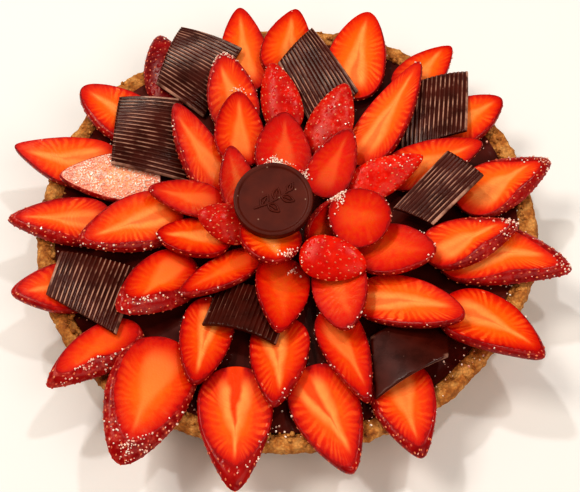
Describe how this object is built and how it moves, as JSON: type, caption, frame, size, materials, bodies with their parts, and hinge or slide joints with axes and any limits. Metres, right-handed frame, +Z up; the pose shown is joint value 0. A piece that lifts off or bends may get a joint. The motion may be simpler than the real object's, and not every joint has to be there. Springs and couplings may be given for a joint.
{
  "type": "strawberry tart",
  "caption": "Round open tart: shortcrust shell, chocolate ganache, strawberry slices laid as flower petals, curved combed chocolate leaves and a round chocolate medallion.",
  "frame": {"origin": "centre of the flat underside of the shell, on the table", "axes": "+Z up; +X to the right and +Y away, as the tart is seen in the picture"},
  "size_m": [0.2566, 0.2566, 0.0553],
  "materials": {
    "crust": "crumbly baked shortcrust",
    "ganache": "smooth, shiny dark ganache",
    "berry_flesh": "moist cut strawberry",
    "berry_skin": "strawberry skin with seeds",
    "chocolate": "combed dark chocolate, satin sheen"
  },
  "bodies": {
    "root": {"crust": "crust", "ganache": "ganache", "berry_half_outer_left_low": "berry_flesh", "berry_half_outer_front_left": "berry_flesh", "berry_heart_outer_left_middle": "berry_flesh", "berry_heart_outer_front": "berry_flesh", "berry_heart_outer_front_right": "berry_flesh", "berry_heart_outer_right_low": "berry_flesh", "berry_half_outer_left": "berry_flesh", "berry_heart_outer_left_high": "berry_flesh", "berry_half_outer_back_left_low": "berry_flesh", "berry_cap_outer_back_left": "berry_skin", "berry_heart_outer_back": "berry_flesh", "berry_heart_outer_back_middle": "berry_flesh", "berry_heart_outer_back_right": "berry_flesh", "berry_heart_outer_back_right_low": "berry_flesh", "berry_heart_outer_right_high": "berry_flesh", "berry_half_outer_right": "berry_flesh", "chocolate_leaf_front_right": "chocolate", "berry_heart_outer_right_front": "berry_flesh", "berry_half_outer_right_middle": "berry_flesh", "berry_half_outer_right_inner": "berry_flesh", "berry_heart_middle_left_high": "berry_flesh", "chocolate_leaf_left_low": "chocolate", "chocolate_leaf_left": "chocolate", "chocolate_leaf_back_left": "chocolate", "chocolate_leaf_back": "chocolate", "chocolate_leaf_right_high": "chocolate", "berry_half_middle_left": "berry_flesh", "berry_half_middle_left_low": "berry_flesh", "berry_heart_middle_front_left": "berry_flesh", "berry_heart_middle_front": "berry_flesh", "berry_heart_middle_front_right": "berry_flesh", "berry_heart_middle_right_low": "berry_flesh", "berry_heart_middle_right_high": "berry_flesh", "berry_heart_middle_back_right": "berry_flesh", "berry_cap_middle_back_skin_right": "berry_skin", "berry_cap_middle_back_skin": "berry_skin", "berry_heart_middle_back": "berry_flesh", "berry_half_middle_back_left": "berry_flesh", "chocolate_leaf_right": "chocolate", "chocolate_leaf_front_left": "chocolate", "berry_heart_inner_front_left": "berry_flesh", "berry_heart_inner_left": "berry_flesh", "berry_heart_inner_left_high": "berry_flesh", "berry_heart_inner_back_left": "berry_flesh", "berry_cap_inner_right_high": "berry_skin", "berry_heart_inner_right": "berry_flesh", "berry_heart_inner_front_right": "berry_flesh", "berry_heart_inner_front": "berry_flesh", "berry_heart_inner_back": "berry_flesh", "berry_heart_inner_back_right": "berry_flesh", "berry_heart_inner_back_left_low": "berry_flesh", "berry_cap_inner_left_skin": "berry_skin", "berry_heart_inner_right_upright": "berry_flesh", "berry_heart_inner_right_top": "berry_flesh", "berry_cap_inner_front_skin": "berry_skin", "berry_heart_inner_front_top": "berry_flesh", "berry_whole_inner_middle": "berry_skin", "chocolate_medallion": "chocolate"}
  },
  "joints": []
}
